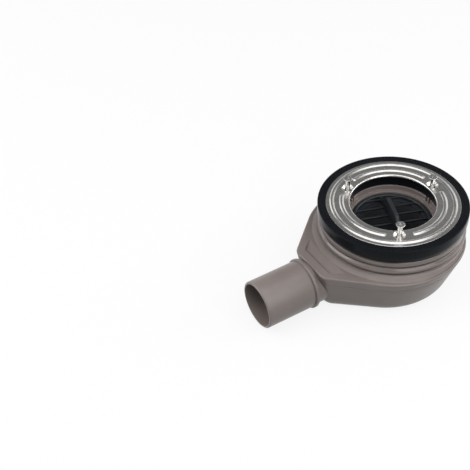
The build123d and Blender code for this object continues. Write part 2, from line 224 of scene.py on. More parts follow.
def joinMeshes(name, meshes):
    work = bmesh.new()
    for mesh in meshes:
        work.from_mesh(mesh)
        bpy.data.meshes.remove(mesh)
    whole = bpy.data.meshes.new(name)
    work.to_mesh(whole)
    work.free()
    return whole


def newObject(name, data):
    made = bpy.data.objects.new(name, data)
    scene.collection.objects.link(made)
    return made


def plainMesh(made):  # live modifiers to a plain mesh
    bpy.context.view_layer.update()
    mesh = bpy.data.meshes.new_from_object(made.evaluated_get(bpy.context.evaluated_depsgraph_get()))
    mesh.name = made.name
    old = made.data
    made.modifiers.clear()
    made.data = mesh
    bpy.data.meshes.remove(old)


def dropFolds(mesh):  # pairs of faces on the same points, left by a cut
    work = bmesh.new()
    work.from_mesh(mesh)
    bmesh.ops.triangulate(work, faces=[face for face in work.faces if len(face.verts) > 4])
    pairs = {}
    for face in work.faces:
        pairs.setdefault(frozenset(vert.index for vert in face.verts), []).append(face)
    folded = [face for faces in pairs.values() if len(faces) > 1 for face in faces]
    bmesh.ops.delete(work, geom=folded, context="FACES_ONLY")
    bmesh.ops.delete(work, geom=[edge for edge in work.edges if not edge.link_faces], context="EDGES")
    work.to_mesh(mesh)
    work.free()


def cutAway(made, cutters):  # list of closed meshes, used up
    for cutter in cutters:
        tool = newObject("cutter", cutter)
        cut = made.modifiers.new("cut", "BOOLEAN")
        cut.operation = "DIFFERENCE"
        cut.solver = "EXACT"
        cut.object = tool
        plainMesh(made)
        bpy.data.objects.remove(tool)
        bpy.data.meshes.remove(cutter)
    tidyMesh(made.data)
    dropFolds(made.data)


def finishPiece(made, material, nodeName):
    made.data.materials.clear()
    made.data.materials.append(material)
    for face in made.data.polygons:
        face.material_index = 0
    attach(made, "root")
    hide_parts(nodeName)
    print("piece", made.name, len(made.data.polygons), "faces")


# finishes: a noise is (scale, detail), a bump is (strength, depth in m), rough runs from low to high

def newMaterial(name):
    material = bpy.data.materials.new(name)
    material.use_nodes = True
    tree = material.node_tree
    coords = addNode(tree, "ShaderNodeTexCoord").outputs["Object"]
    return material, tree, tree.nodes["Principled BSDF"], coords


bodyFinish = dict(dark=(0.211, 0.178, 0.166), pale=(0.236, 0.200, 0.187), rough=(0.31, 0.39), specular=0.55,
                  cloud=(42, 4), wear=(320, 4), grain=(2600, 2), grainBump=(0.10, 0.00012),
                  wave=(150, 2), waveBump=(0.06, 0.0004),
                  polish=0.42, neckRadius=(0.0612, 0.0622), neckLevel=(0.0425, 0.0435))  # polished neck


def makeBodyPlastic(look):
    material, tree, shader, coords = newMaterial("taupePolypropylene")
    flat = addNode(tree, "ShaderNodeVectorMath", {0: coords, 1: (1, 1, 0)}, operation="MULTIPLY")
    away = addNode(tree, "ShaderNodeVectorMath", {0: flat.outputs["Vector"]}, operation="LENGTH")
    beside = rangeOf(tree, away.outputs["Value"], look["polish"], 1.0, *look["neckRadius"])
    below = rangeOf(tree, axesOf(tree, coords)["Z"], 1.0, look["polish"], *look["neckLevel"])
    wear = rangeOf(tree, noiseOf(tree, coords, *look["wear"]), *look["rough"])
    fine = bumpOf(tree, noiseOf(tree, coords, *look["grain"]), *look["grainBump"])
    feed(tree, shader, {
        "Base Color": rampOf(tree, noiseOf(tree, coords, *look["cloud"]), look["dark"], look["pale"]),
        "Roughness": mathOf(tree, "MULTIPLY", wear, mathOf(tree, "MAXIMUM", beside, below)),
        "Normal": bumpOf(tree, noiseOf(tree, coords, *look["wave"]), *look["waveBump"], fine),
        "Specular IOR Level": look["specular"]})
    return material


rubberFinish = dict(dark=(0.0060, 0.0074, 0.0094), pale=(0.0118, 0.0138, 0.0166), dust=(900, 6, 0.7),
                    dustStops=(0.45, 0.8), rough=(0.36, 0.46), wear=(260, 4), grain=(1900, 3),
                    grainBump=(0.16, 0.0002), specular=0.02, coat=1.0, coatIor=1.14, coatRough=0.18,
                    sheen=0.22, sheenRough=0.3)


def makeRubber(look):
    material, tree, shader, coords = newMaterial("blackRubber")
    dust = noiseOf(tree, coords, *look["dust"])
    feed(tree, shader, {
        "Base Color": rampOf(tree, dust, look["dark"], look["pale"], look["dustStops"]),
        "Roughness": rangeOf(tree, noiseOf(tree, coords, *look["wear"]), *look["rough"]),
        "Normal": bumpOf(tree, noiseOf(tree, coords, *look["grain"]), *look["grainBump"]),
        "Specular IOR Level": look["specular"],
        "Coat Weight": look["coat"],  # gloss where the wall is seen at a low angle
        "Coat IOR": look["coatIor"],
        "Coat Roughness": look["coatRough"],
        "Sheen Weight": look["sheen"],
        "Sheen Roughness": look["sheenRough"]})
    return material


ringFinish = dict(dark=(0.66, 0.645, 0.625), pale=(0.74, 0.73, 0.715), haze=(210, 4), rough=(0.22, 0.27),
                  sheetGrain=(40, 2600, 40), rolled=(1, 3), rolledBump=(0.012, 0.0001))  # rolled along X


def makeRingSteel(look):
    material, tree, shader, coords = newMaterial("pressedStainless")
    stretch = addNode(tree, "ShaderNodeMapping", {"Vector": coords, "Scale": look["sheetGrain"]})
    rolled = noiseOf(tree, stretch.outputs["Vector"], *look["rolled"])
    feed(tree, shader, {
        "Base Color": rampOf(tree, noiseOf(tree, coords, *look["haze"]), look["dark"], look["pale"]),
        "Roughness": rangeOf(tree, rolled, *look["rough"]),
        "Normal": bumpOf(tree, rolled, *look["rolledBump"]),
        "Metallic": 1.0})
    return material


screwFinish = dict(dark=(0.70, 0.69, 0.675), pale=(0.80, 0.79, 0.775), haze=(700, 3), rough=(0.2, 0.28),
                   grain=(3000, 2), grainBump=(0.04, 0.0001))


def makeScrewSteel(look):
    material, tree, shader, coords = newMaterial("brightStainless")
    haze = noiseOf(tree, coords, *look["haze"])
    feed(tree, shader, {
        "Base Color": rampOf(tree, haze, look["dark"], look["pale"]),
        "Roughness": rangeOf(tree, haze, *look["rough"]),
        "Normal": bumpOf(tree, noiseOf(tree, coords, *look["grain"]), *look["grainBump"]),
        "Metallic": 1.0})
    return material


# the dip tube's lower colour is painted light: below its level the tube is painted much lighter, so its
# inside, where little light reaches, looks lit
strainerFinish = dict(low=(0.016, 0.019, 0.023), high=(0.024, 0.028, 0.033), tubeLow=(0.066, 0.073, 0.080),
                      tubeHigh=(0.018, 0.021, 0.025), tubeLevel=0.0463, levelCloud=0.002, levelSoft=0.001,
                      cloud=(120, 4), rough=(0.34, 0.46), wear=(500, 3), grain=(2600, 2),
                      grainBump=(0.10, 0.0001), specular=0.28)


def makeStrainerPlastic(name, look, low, high, level=None):  # a level splits the colours, with a cloudy edge
    material, tree, shader, coords = newMaterial(name)
    cloud = noiseOf(tree, coords, *look["cloud"])
    # below the level the colour is painted light: the lower tube is painted lighter where little light
    # reaches inside it
    if level is not None:
        rise = mathOf(tree, "MULTIPLY_ADD", cloud, look["levelCloud"], axesOf(tree, coords)["Z"])
        cloud = rangeOf(tree, rise, *rampStops, level, level + look["levelSoft"])
    feed(tree, shader, {
        "Base Color": rampOf(tree, cloud, low, high),
        "Roughness": rangeOf(tree, noiseOf(tree, coords, *look["wear"]), *look["rough"]),
        "Normal": bumpOf(tree, noiseOf(tree, coords, *look["grain"]), *look["grainBump"]),
        "Specular IOR Level": look["specular"]})
    return material


brassFinish = dict(dark=(0.56, 0.41, 0.18), pale=(0.66, 0.50, 0.25), haze=(800, 3), rough=(0.25, 0.4))


def makeBrass(look):
    material, tree, shader, coords = newMaterial("turnedBrass")
    haze = noiseOf(tree, coords, *look["haze"])
    feed(tree, shader, {
        "Base Color": rampOf(tree, haze, look["dark"], look["pale"]),
        "Roughness": rangeOf(tree, haze, *look["rough"]),
        "Metallic": 1.0})
    return material


bodyPlastic = makeBodyPlastic(bodyFinish)
rubber = makeRubber(rubberFinish)
ringSteel = makeRingSteel(ringFinish)
screwSteel = makeScrewSteel(screwFinish)
grateColours = pick(strainerFinish, "low high")
# the dip tube's colours carry painted light: a lighter lower colour, its own dark colour above the level
tubePaintedLightColours = pick(strainerFinish, "tubeLow tubeHigh tubeLevel")
strainerPlastic = makeStrainerPlastic("slatePlastic", strainerFinish, *grateColours)
tubePlastic = makeStrainerPlastic("tubePlastic", strainerFinish, *tubePaintedLightColours)
brass = makeBrass(brassFinish)
print("finishes made")


# places of the three screws, shared by seal, cover, ring and screws

screwPlaces = dict(circle=40.3, turn=-1.1, step=120, count=3)


def screwPoints():
    circle, turn, step = pick(screwPlaces, "circle turn step")
    angles = [math.radians(turn + step * i) for i in range(screwPlaces["count"])]
    return [(circle * math.cos(angle), circle * math.sin(angle)) for angle in angles]


# round pieces: a profile carried round a circle by Geometry Nodes

latheRadius = 50.0  # the circle that profiles are measured from


def makeLatheTree():
    tree, keys, given = startTree("latheTree", "Profile", (("Segments", "Int"), ("Circle Radius", "Float")))
    profile = addNode(tree, "GeometryNodeMeshToCurve", {"Mesh": given["Profile"]})
    inputs = {"Resolution": given["Segments"], "Radius": given["Circle Radius"]}
    circle = addNode(tree, "GeometryNodeCurvePrimitiveCircle", inputs)
    inputs = {"Curve": circle.outputs["Curve"], "Profile Curve": profile.outputs["Curve"]}
    endTree(tree, given, addNode(tree, "GeometryNodeCurveToMesh", inputs).outputs["Mesh"])
    return tree, keys


latheTree, latheKeys = makeLatheTree()


def turnRound(name, profile, material, segments):  # closed (r, z) profile
    points = [(r - latheRadius, -z, 0) for r, z in profile]
    edges = [(i, (i + 1) % len(points)) for i in range(len(points))]
    made = newObject(name, meshOf(name, points, [], edges))
    values = {"Segments": segments, "Circle Radius": latheRadius * mm, "Finish": material}
    runTree(made, latheTree, latheKeys, values)
    tidyMesh(made.data)
    return made


sealRing = dict(foot=60.0, radius=61.2, footTop=58.8, footRounding=6.0, low=55.3, seat=66.3, top=67.6,
                topRounding=0.9, lipInner=54.6, bore=37.0, edge=0.4, grooves=(58.4, 56.4), grooveWidth=0.6,
                grooveDepth=0.4, grooveTaper=0.6, grooveRounding=0.12, pocket=6.4, pocketDepth=2.8,
                screwHole=2.6)


def makeSealRing(size):
    bore, low, seat, top, radius, edge = pick(size, "bore low seat top radius edge")
    corners = [(bore, low, edge), (size["foot"], low, edge), (radius, size["footTop"], size["footRounding"]),
               (radius, top, size["topRounding"])]
    half, deep = size["grooveWidth"] / 2, top - size["grooveDepth"]
    narrow = half * size["grooveTaper"]
    for groove in size["grooves"]:
        for aside, height in ((half, top), (narrow, deep), (-narrow, deep), (-half, top)):
            corners.append((groove + aside, height, size["grooveRounding"]))
    corners += [(size["lipInner"], top, 0.35), (size["lipInner"], seat, 0.1), (bore, seat, 0.5)]
    made = turnRound("sealRing", roundCorners(corners, 4), rubber, 256)
    hole, pocket, pocketFloor = size["screwHole"], size["pocket"], seat - size["pocketDepth"]
    line = [(hole, low - 1), (hole, pocketFloor), (pocket, pocketFloor), (pocket, seat + 1)]
    cutAway(made, [turnedMesh(line, 60, place) for place in screwPoints()])  # holes, room for the dimples
    finishPiece(made, rubber, "seal_ring")


makeSealRing(sealRing)

dipTube = dict(rim=32.8, rimTop=47.1, seat=45.3, gland=29.7, glandEnd=38.8, bore=26.4, wall=2.0, low=8.8,
               grooveLevel=42.0, grooveHalf=1.1, grooveRadius=28.25)


def makeDipTube(size):
    rim, rimTop, seat, gland, glandEnd, bore, low = pick(size, "rim rimTop seat gland glandEnd bore low")
    outer, groove = bore + size["wall"], size["grooveRadius"]
    grooveTop = size["grooveLevel"] + size["grooveHalf"]
    grooveFoot = size["grooveLevel"] - size["grooveHalf"]
    corners = [(bore, rimTop, 0.5), (rim, rimTop, 0.3), (rim, seat, 0.2), (gland, seat, 0.1),
               (gland, grooveTop, 0.1), (groove, grooveTop, 0.1), (groove, grooveFoot, 0.1),
               (gland, grooveFoot, 0.1), (gland, glandEnd, 0.4), (outer, glandEnd, 0.2), (outer, low, 0.5),
               (bore, low, 0.5)]
    made = turnRound("dipTube", roundCorners(corners, 3), tubePlastic, 128)
    finishPiece(made, tubePlastic, "dip_tube")


makeDipTube(dipTube)


# moulded body: teardrop outline, drawn out towards the outlet

body = dict(footRadius=54.6, footCentreX=-8.9, footEndX=-76.1, footEndHalf=15.2, footCorner=16.0,
            footRounding=14.0, deckRadius=66.2, deckCentreX=-4.5, deckEndX=-82.0, deckEndHalf=18.9,
            deckCorner=10.0, deckLevel=37.8, deckRise=1.83, deckThickness=3.0, wall=2.6, edgeRounding=1.4,
            seam=32.2, seamGroove=0.2, formTop=60.3, floorX=-10.0, wallLevels=(16, 20, 26),
            outletLevel=21.8, outletHole=15.6, outletStart=-111.0, outletLength=40.0)
weir = dict(x=-44.0, half=1.2, levels=(2.0, 4.0, 6.0, 9.0, 13.0, 20.0, 29.3), lap=0.8, tuck=0.8)


def bodyForm(level, size):  # plan at a level: circle of the pot, end wall, and the circle of its corner
    def between(name):
        foot, deck = size["foot" + name], size["deck" + name]
        return foot + (deck - foot) * level / size["deckLevel"]
    radius, centreX, endX, endHalf, corner = map(between, ("Radius", "CentreX", "EndX", "EndHalf", "Corner"))
    touch = math.atan2(endHalf, endX - centreX) - math.acos(radius / math.hypot(endX - centreX, endHalf))
    cornerX = endX + corner
    cornerY = (radius - corner - math.cos(touch) * (cornerX - centreX)) / math.sin(touch)
    return dict(radius=radius, centreX=centreX, endX=endX, corner=corner, touch=touch,
                cornerX=cornerX, cornerY=cornerY)


def footSink(level, size):  # how far the rounded foot stands back from the wall
    rounding = size["footRounding"]
    return rounding - math.sqrt(rounding ** 2 - max(rounding - level, 0) ** 2)


def outlineAt(level, size, steps):  # (point, outward normal) pairs round the body
    form = bodyForm(level, size)
    radius, centreX, endX, corner, touch, cornerY = pick(form, "radius centreX endX corner touch cornerY")
    cornerCentre = Vector((form["cornerX"], cornerY))
    half = []
    for i in range(steps["round"] + 1):
        angle = touch * i / steps["round"]
        point = Vector((centreX + radius * math.cos(angle), radius * math.sin(angle)))
        half.append((point, Vector((math.cos(angle), math.sin(angle)))))
    sideStart, sideNormal = half[-1]
    sideEnd = cornerCentre + sideNormal * corner
    for i in range(1, steps["side"]):
        half.append((sideStart.lerp(sideEnd, i / steps["side"]), sideNormal))
    for i in range(steps["corner"] + 1):
        angle = touch + (math.pi - touch) * i / steps["corner"]
        normal = Vector((math.cos(angle), math.sin(angle)))
        half.append((cornerCentre + normal * corner, normal))
    for i in range(1, steps["end"] + 1):
        half.append((Vector((endX, cornerY * (1 - i / steps["end"]))), Vector((-1, 0))))
    mirrored = [(Vector((p.x, -p.y)), Vector((n.x, -n.y))) for p, n in reversed(half[1:-1])]
    return half + mirrored


def outletHole(size):
    hole = turnedMesh([(size["outletHole"], 0), (size["outletHole"], size["outletLength"])], 96)
    place = Matrix.Translation((size["outletStart"] * mm, 0, size["outletLevel"] * mm))
    hole.transform(place @ Matrix.Rotation(math.pi / 2, 4, "Y"))
    return hole


def weirMesh(size):  # cross wall, its ends let a little into the bowl's sides
    columns = []
    for x in (size["x"] - size["half"], size["x"] + size["half"]):
        halves = []
        for level in size["levels"]:
            form = bodyForm(level, body)
            reach = form["radius"] - body["wall"] + size["lap"] - size["tuck"] * footSink(level, body)
            halves.append((math.sqrt(reach ** 2 - (x - form["centreX"]) ** 2), level))
        column = [(x, -half, level) for half, level in halves]
        columns.append(column + [(x, half, level) for half, level in reversed(halves)])
    return prismMesh("weir", columns)


def makeBowl(size):
    steps = dict(round=110, side=10, corner=16, end=10)
    arcSteps = 10
    wall, rounding, seam, groove = pick(size, "wall footRounding seam seamGroove")
    rimLevel = seam - groove
    rings = [(level, 0) for level in size["wallLevels"]]  # (level, inset) up the outside and down the inside
    rings += [(rimLevel - 0.3, 0), (rimLevel, 0.1), (rimLevel, groove), (seam, groove), (seam, wall)]
    rings += [(level, wall) for level in reversed(size["wallLevels"])]
    columns = []
    for (foot, normal), (rim, rimNormal) in zip(outlineAt(0, size, steps), outlineAt(rimLevel, size, steps)):
        slope = math.atan((rim - foot).dot(normal) / rimLevel)

        def footArc(radius, inset):  # from the floor up to the sloped wall
            start = inset * math.tan(slope) - inset + radius * math.tan(slope) - radius / math.cos(slope)
            arc = []
            for k in range(arcSteps + 1):
                angle = -math.pi / 2 + (math.pi / 2 - slope) * k / arcSteps
                place = foot + normal * (start + radius * math.cos(angle))
                arc.append((place.x, place.y, inset + radius + radius * math.sin(angle)))
            return arc

        column = footArc(rounding, 0)
        for level, inset in rings:
            place = foot.lerp(rim, level / rimLevel) - rimNormal * inset
            column.append((place.x, place.y, level))
        columns.append(column + footArc(rounding - wall, wall)[::-1])
    shell = gridMesh("trapBowl", columns, False, (size["floorX"], 0, 0), (size["floorX"], 0, wall))
    made = newObject("trapBowl", tidyMesh(shell))
    cutAway(made, [outletHole(size)])
    shell = made.data
    made.data = joinMeshes("trapBowl", [shell.copy(), weirMesh(weir)])
    bpy.data.meshes.remove(shell)
    tidyMesh(made.data)
    finishPiece(made, bodyPlastic, "trap_bowl")


makeBowl(body)

cover = dict(neck=60.0, neckFoot=40.0, innerFoot=38.0, shoulderFoot=65.4, shoulderTop=57.3, shoulderRise=3.9,
             shoulderMargin=1.6, band=60.7, flange=59.5, groove=2.3, grooveWidth=1.9, inner=55.4,
             bandLow=43.8, bandHigh=48.1, flangeLevel=sealRing["low"], flangeThick=3.0, throat=36.0,
             bevel=1.9, ledge=50.9, seatRadius=33.3, seat=dipTube["seat"], socket=30.2, socketLow=38.3,
             notchTurns=(-6.4, -0.4), notch=(4.0, 1.9, 9.0), insert=2.9, insertDepth=9.1, deckSteps=56)
recess = dict(endX=-72.5, startX=-64.6, depth=2.5, sideBorder=7.6, sideDraft=24.0, endDraft=42.0)
deckForm = bodyForm(body["deckLevel"], body)
deckSlope = math.tan(math.radians(body["deckRise"]))


def deckAt(x):  # level of the deck, which rises towards the outlet
    return body["deckLevel"] - deckSlope * x


def recessDepth(x, y, size):  # how far the wedge goes down at a point of the deck
    radius, centreX, touch = pick(deckForm, "radius centreX touch")
    aside = math.cos(touch) * (x - centreX) + math.sin(touch) * abs(y) - (radius - size["sideBorder"])
    beyond = size["endX"] - x
    sideWall = aside / math.tan(math.radians(size["sideDraft"]))
    endWall = beyond / math.tan(math.radians(size["endDraft"]))
    along = min(max((size["startX"] - x) / (size["startX"] - size["endX"]), 0), 1)
    return max(size["depth"] * along - max(sideWall, endWall, 0), 0)


def neckLine(size):  # bands, flange, throat and tube socket, from the neck's outer foot to its inner one
    neck, band, flange, groove, bevel, inner = pick(size, "neck band flange groove bevel inner")
    bandLow, bandHigh, top, throat, ledge = pick(size, "bandLow bandHigh flangeLevel throat ledge")
    seatRadius, seat, socket, socketLow = pick(size, "seatRadius seat socket socketLow")
    lowGroove, highGroove = bandLow - size["grooveWidth"], bandHigh + size["grooveWidth"]
    socketOuter, throatOuter, seatUnder = socket + body["wall"], throat + body["wall"], seat - body["wall"]
    flangeUnder = top - size["flangeThick"]
    corners = [(neck, size["neckFoot"], 0), (neck, lowGroove, 0.5), (neck - groove, lowGroove, 0.3),
               (neck - groove, bandLow, 0.3), (band, bandLow, 0.6), (band, bandHigh - bevel, 2.0),
               (band - bevel, bandHigh, 1.0), (flange - groove, bandHigh, 0.3),
               (flange - groove, highGroove, 0.3), (flange, highGroove, 0.6), (flange, top - bevel, 2.0),
               (flange - bevel, top, 0.4), (throat, top, 0.5), (throat, ledge, 0.4), (seatRadius, ledge, 0.5),
               (seatRadius, seat, 0.2), (socket, seat, 0.4), (socket, socketLow, 0.3),
               (socketOuter, socketLow, 0.3), (socketOuter, seatUnder, 0.5), (throatOuter, seatUnder, 0.5),
               (throatOuter, flangeUnder, 0.5), (inner, flangeUnder, 1.0), (inner, size["innerFoot"], 0)]
    return roundCorners(corners, 4)


def coverColumn(seamPoint, normal, topPoint, neckPoints, size):  # skirt, deck, neck, and back inside
    seam, wall, thickness, rounding = pick(body, "seam wall deckThickness edgeRounding")
    neck, shoulderFoot, deckSteps = pick(size, "neck shoulderFoot deckSteps")
    neckLow = size["bandLow"] - size["grooveWidth"] - 0.1
    shoulderSlope = size["shoulderRise"] / (shoulderFoot - size["shoulderTop"])

    def wallAt(level):
        return seamPoint.lerp(topPoint, (level - seam) / (body["formTop"] - seam))

    level = body["deckLevel"]
    for _ in range(3):  # closes in on the level where the wall meets the deck
        level = deckAt(wallAt(level).x)
    edge = wallAt(level)
    line = [(seamPoint - normal * 0.15, seam)]  # (point, level) pairs
    line += [(wallAt(seam + step), seam + step) for step in (0.3, 1.6, level - seam - 2 * rounding)]
    reach = 6  # length of wall and deck that the rounded edge is fitted to
    flare = (edge - wallAt(level - reach)).dot(normal)
    for inward, height in roundCorners([(-flare, -reach, 0), (0, 0, rounding), (-reach, 0, 0)], 6)[1:-1]:
        line.append((edge + normal * inward, level + height))
    deckStart = line[-1][0]
    ray = deckStart.normalized()
    footRadius = min(shoulderFoot, deckStart.length - size["shoulderMargin"] + rounding)
    for k in range(1, deckSteps + 1):
        place = deckStart.lerp(ray * footRadius, k / deckSteps)
        line.append((place, deckAt(place.x) - recessDepth(place.x, place.y, recess)))

    def shoulderAt(radius):
        return deckAt((ray * radius).x) + shoulderSlope * (shoulderFoot - radius)

    for radius in (footRadius - 0.05, (footRadius + neck) / 2, neck + 0.25):
        line.append((ray * radius, min(shoulderAt(radius), neckLow)))
    for radius, height in neckPoints:
        if height == size["neckFoot"]:  # both feet of the neck follow the slope
            height = min(shoulderAt(radius) + 0.25, neckLow)
        elif height == size["innerFoot"]:
            height = deckAt((ray * radius).x) - thickness
        line.append((ray * radius, height))
    line.append((wallAt(level - thickness) - normal * wall, level - thickness))
    line.append((seamPoint - normal * wall, seam))
    return [(place.x, place.y, height) for place, height in line]


def makeCover(size):
    steps = dict(round=130, side=26, corner=20, end=44)
    outlines = zip(outlineAt(body["seam"], body, steps), outlineAt(body["formTop"], body, steps))
    neckPoints = neckLine(size)
    columns = [coverColumn(seamPoint, normal, topPoint, neckPoints, size)
               for (seamPoint, normal), (topPoint, _) in outlines]
    made = newObject("trapCover", tidyMesh(gridMesh("trapCover", columns)))
    throat, level, insert = pick(size, "throat flangeLevel insert")
    cutters = [outletHole(body)]
    for i, place in enumerate(screwPoints()):
        for turn in size["notchTurns"]:  # a pair of notches in the throat's edge
            spin = Matrix.Rotation(math.radians(screwPlaces["step"] * i + turn), 4, "Z")
            cutters.append(boxMesh(size["notch"], spin @ Matrix.Translation((throat * mm, 0, level * mm))))
        seat = [(insert, level - size["insertDepth"]), (insert, level + 1)]  # of a thread insert
        cutters.append(turnedMesh(seat, 48, place))
    cutAway(made, cutters)
    finishPiece(made, bodyPlastic, "trap_cover")


makeCover(cover)

spigot = dict(level=body["outletLevel"], radius=20.0, bore=18.0, endX=-131.7, bevel=0.8, collar=21.4,
              collarX=-85.21, collarLength=3.2, collarRounding=1.0, crease=1.1, creaseDepth=0.5, root=18.6,
              rootDrop=1.0, rootSink=0.05, tenon=body["outletHole"], tenonBore=14.0, tenonX=-70.9,
              tenonLength=9.0, funnel=6.0, sides=192)


def rootEnd(y, z):  # where the pipe's root meets the body's outer wall
    form = bodyForm(z, body)
    radius, centreX, corner, touch, cornerY = pick(form, "radius centreX corner touch cornerY")
    across, sink = abs(y), footSink(z, body)
    if across <= cornerY:
        return form["endX"] + sink
    if across <= cornerY + corner * math.sin(touch):
        return form["cornerX"] - math.sqrt(corner ** 2 - (across - cornerY) ** 2) + sink
    return centreX + (radius - math.sin(touch) * across) / math.cos(touch) + sink


def makeSpigot(size):
    endX, radius, bore, bevel, collar, collarX = pick(size, "endX radius bore bevel collar collarX")
    root, tenon, tenonBore, tenonX, rounding = pick(size, "root tenon tenonBore tenonX collarRounding")
    collarStart, rootX = collarX - size["collarLength"], tenonX - size["tenonLength"]
    corners = [(endX, bore, 0.3), (endX, radius - bevel, 0.2), (endX + bevel, radius, 0.4),
               (collarStart - size["crease"], radius, 0.3),
               (collarStart - 0.3, radius - size["creaseDepth"], 0.2), (collarStart, radius, 0.2),
               (collarStart, collar, rounding), (collarX, collar, rounding), (collarX, root, 0.4),
               (rootX, root, 0), (rootX, tenon, 0), (tenonX, tenon, 0.3), (tenonX, tenonBore, 0.4),
               (collarStart, tenonBore, 1.5), (collarStart - size["funnel"], bore, 1.5)]
    line = roundCorners(corners, 4)  # (x, r) along the pipe
    columns = []
    for angle in roundAngles(size["sides"]):
        column = []
        for x, r in line:
            y, z = r * math.sin(angle), size["level"] + r * math.cos(angle)
            if x > collarX - 0.01 and r > tenon + 0.5:  # the root sits lower than the pipe
                z -= size["rootDrop"]
            if x == rootX:
                x = rootEnd(y, z) + size["rootSink"]
            column.append((x, y, z))
        columns.append(column)
    made = newObject("outletSpigot", tidyMesh(gridMesh("outletSpigot", columns)))
    finishPiece(made, bodyPlastic, "outlet_spigot")


makeSpigot(spigot)


# pressed clamp ring

clampRing = dict(level=67.3, radius=54.3, bore=34.6, sheet=1.0, lipDrop=1.2, lipRoll=1.6, edge=0.25,
                 ridgeHeight=0.9, ridgeHalf=2.1, outerRidge=49.5, innerRidge=41.6, ridgeGap=34.0, dimple=4.9,
                 dimpleDepth=2.3, dimpleSoft=0.12, dimpleEdge=0.02, hole=2.3, holeSpan=(60, 70), sides=720,
                 lipSteps=6, topSteps=61, underSteps=24)


def ringHeight(radius, angle, size):  # pressed form above the flat of the ring
    def ridge(distance):
        part = min(distance / size["ridgeHalf"], 1)
        return size["ridgeHeight"] * (1 - part * part) ** 1.5
    circle, step, inner = screwPlaces["circle"], screwPlaces["step"], size["innerRidge"]
    turn = (math.degrees(angle) - screwPlaces["turn"]) % step
    gap = max(size["ridgeGap"] / 2 - turn, turn - (step - size["ridgeGap"] / 2), 0)
    height = ridge(abs(radius - size["outerRidge"]))
    height = max(height, ridge(math.hypot(radius - inner, math.radians(gap) * inner)))
    near = math.radians(min(turn, step - turn))
    away = math.sqrt(radius ** 2 + circle ** 2 - 2 * radius * circle * math.cos(near))
    fall = size["dimple"] - away
    soft = 0.5 * (fall + math.sqrt(fall * fall + size["dimpleSoft"]))
    return height - min(soft, size["dimpleDepth"]) if soft > size["dimpleEdge"] else height


def makeClampRing(size):
    radius, bore, level, sheet, roll = pick(size, "radius bore level sheet lipRoll")
    lipSteps, topSteps, underSteps = pick(size, "lipSteps topSteps underSteps")
    under = level - sheet
    lipEnd = under - size["lipDrop"]
    first, last = bore + roll, radius - size["edge"]
    underFirst = first + 0.2
    columns = []
    for angle in roundAngles(size["sides"]):
        line = [(bore, lipEnd)]
        for k in range(lipSteps + 1):  # lip rolled down into the throat
            turn = math.pi / 2 * k / lipSteps
            line.append((bore + roll * (1 - math.cos(turn)), level - roll * (1 - math.sin(turn))))
        for k in range(1, topSteps + 1):
            r = first + (last - first) * k / topSteps
            line.append((r, level + ringHeight(r, angle, size)))
        line += [(radius - 0.05, level - 0.12), (radius, level - 0.35), (radius, under + 0.1)]  # rounded rim
        for k in range(underSteps, -1, -1):
            r = underFirst + (last - underFirst) * k / underSteps
            line.append((r, under + ringHeight(r, angle, size)))
        line += [(bore + sheet, under - 0.9), (bore + sheet * 0.9, lipEnd)]
        columns.append(spunLine(line, angle))
    made = newObject("clampRing", tidyMesh(gridMesh("clampRing", columns)))
    hole = [(size["hole"], height) for height in size["holeSpan"]]
    cutAway(made, [turnedMesh(hole, 48, place) for place in screwPoints()])
    finishPiece(made, ringSteel, "clamp_ring")


makeClampRing(clampRing)


# countersunk screws: one threaded screw, put on its three places by Geometry Nodes

screw = dict(radius=2.0, head=3.6, headRim=0.4, shank=9.5, length=30.0, pitch=0.7, threadDepth=0.36,
             threadEnd=3.4, crestFlat=1.25, tip=0.7, crossLength=4.2, crossWidth=0.9, crossDepth=1.3,
             tops=(75.5, 76.9, 77.9), sides=28, stepsPerTurn=7, sharpAngle=50)


def makeScrewBlank(size):  # top of the head at the origin
    radius, headRadius, length, pitch, sides = pick(size, "radius head length pitch sides")
    coneEnd = -size["headRim"] - (headRadius - radius)
    headLine = [(headRadius - 0.25, 0.0), (headRadius - 0.06, -0.06), (headRadius, -0.2),
                (headRadius, -size["headRim"]), (radius + 0.1, coneEnd + 0.1), (radius - 0.1, coneEnd - 0.2)]
    head = newObject("screwHead", turnedMesh(headLine, 48))
    far, near, deep = size["crossLength"] / 2, size["crossWidth"] / 2, size["crossDepth"]
    corners = [(far, -near), (far, near), (near, near), (near, far), (-near, far), (-near, near)]
    corners += [(-x, -y) for x, y in corners]
    columns = [[(x, y, -deep), (x, y, deep)] for x, y in corners]
    cutAway(head, [tidyMesh(gridMesh("cross", columns, False, (0, 0, -deep), (0, 0, deep)))])
    shaftTop = coneEnd + 0.2
    stepsPerTurn = size["stepsPerTurn"]
    columns = []
    for i, angle in enumerate(roundAngles(sides)):
        line = [(radius - 0.15, shaftTop)]
        for k in range(int((length - size["threadEnd"]) / pitch * stepsPerTurn)):
            z = coneEnd - 0.1 - k * pitch / stepsPerTurn
            crest = 1 - abs(2 * ((z / pitch - i / sides) % 1) - 1)
            fade = min(max(coneEnd - size["shank"] - z, 0) / pitch, 1)  # plain shank under the head
            line.append((radius - size["threadDepth"] * fade * (1 - min(crest * size["crestFlat"], 1)), z))
        line.append((radius * size["tip"], -length))
        columns.append(spunLine(line, angle))
    shaft = gridMesh("screwShaft", columns, False, (0, 0, shaftTop), (0, 0, -length))
    headData = head.data
    bpy.data.objects.remove(head)
    return newObject("screwBlank", tidyMesh(joinMeshes("screwBlank", [headData, shaft]), size["sharpAngle"]))


def makeScrewTree():
    tree, keys, given = startTree("screwTree", "Places", [("Screw", "Object")])
    info = addNode(tree, "GeometryNodeObjectInfo", {"Object": given["Screw"]}).outputs["Geometry"]
    axes = axesOf(tree, addNode(tree, "GeometryNodeInputPosition").outputs["Position"])
    turn = addNode(tree, "ShaderNodeCombineXYZ", {"Z": mathOf(tree, "ARCTAN2", axes["Y"], axes["X"])})
    inputs = {"Points": given["Places"], "Instance": info, "Rotation": turn.outputs["Vector"]}
    endTree(tree, given, addNode(tree, "GeometryNodeInstanceOnPoints", inputs).outputs["Instances"])
    return tree, keys


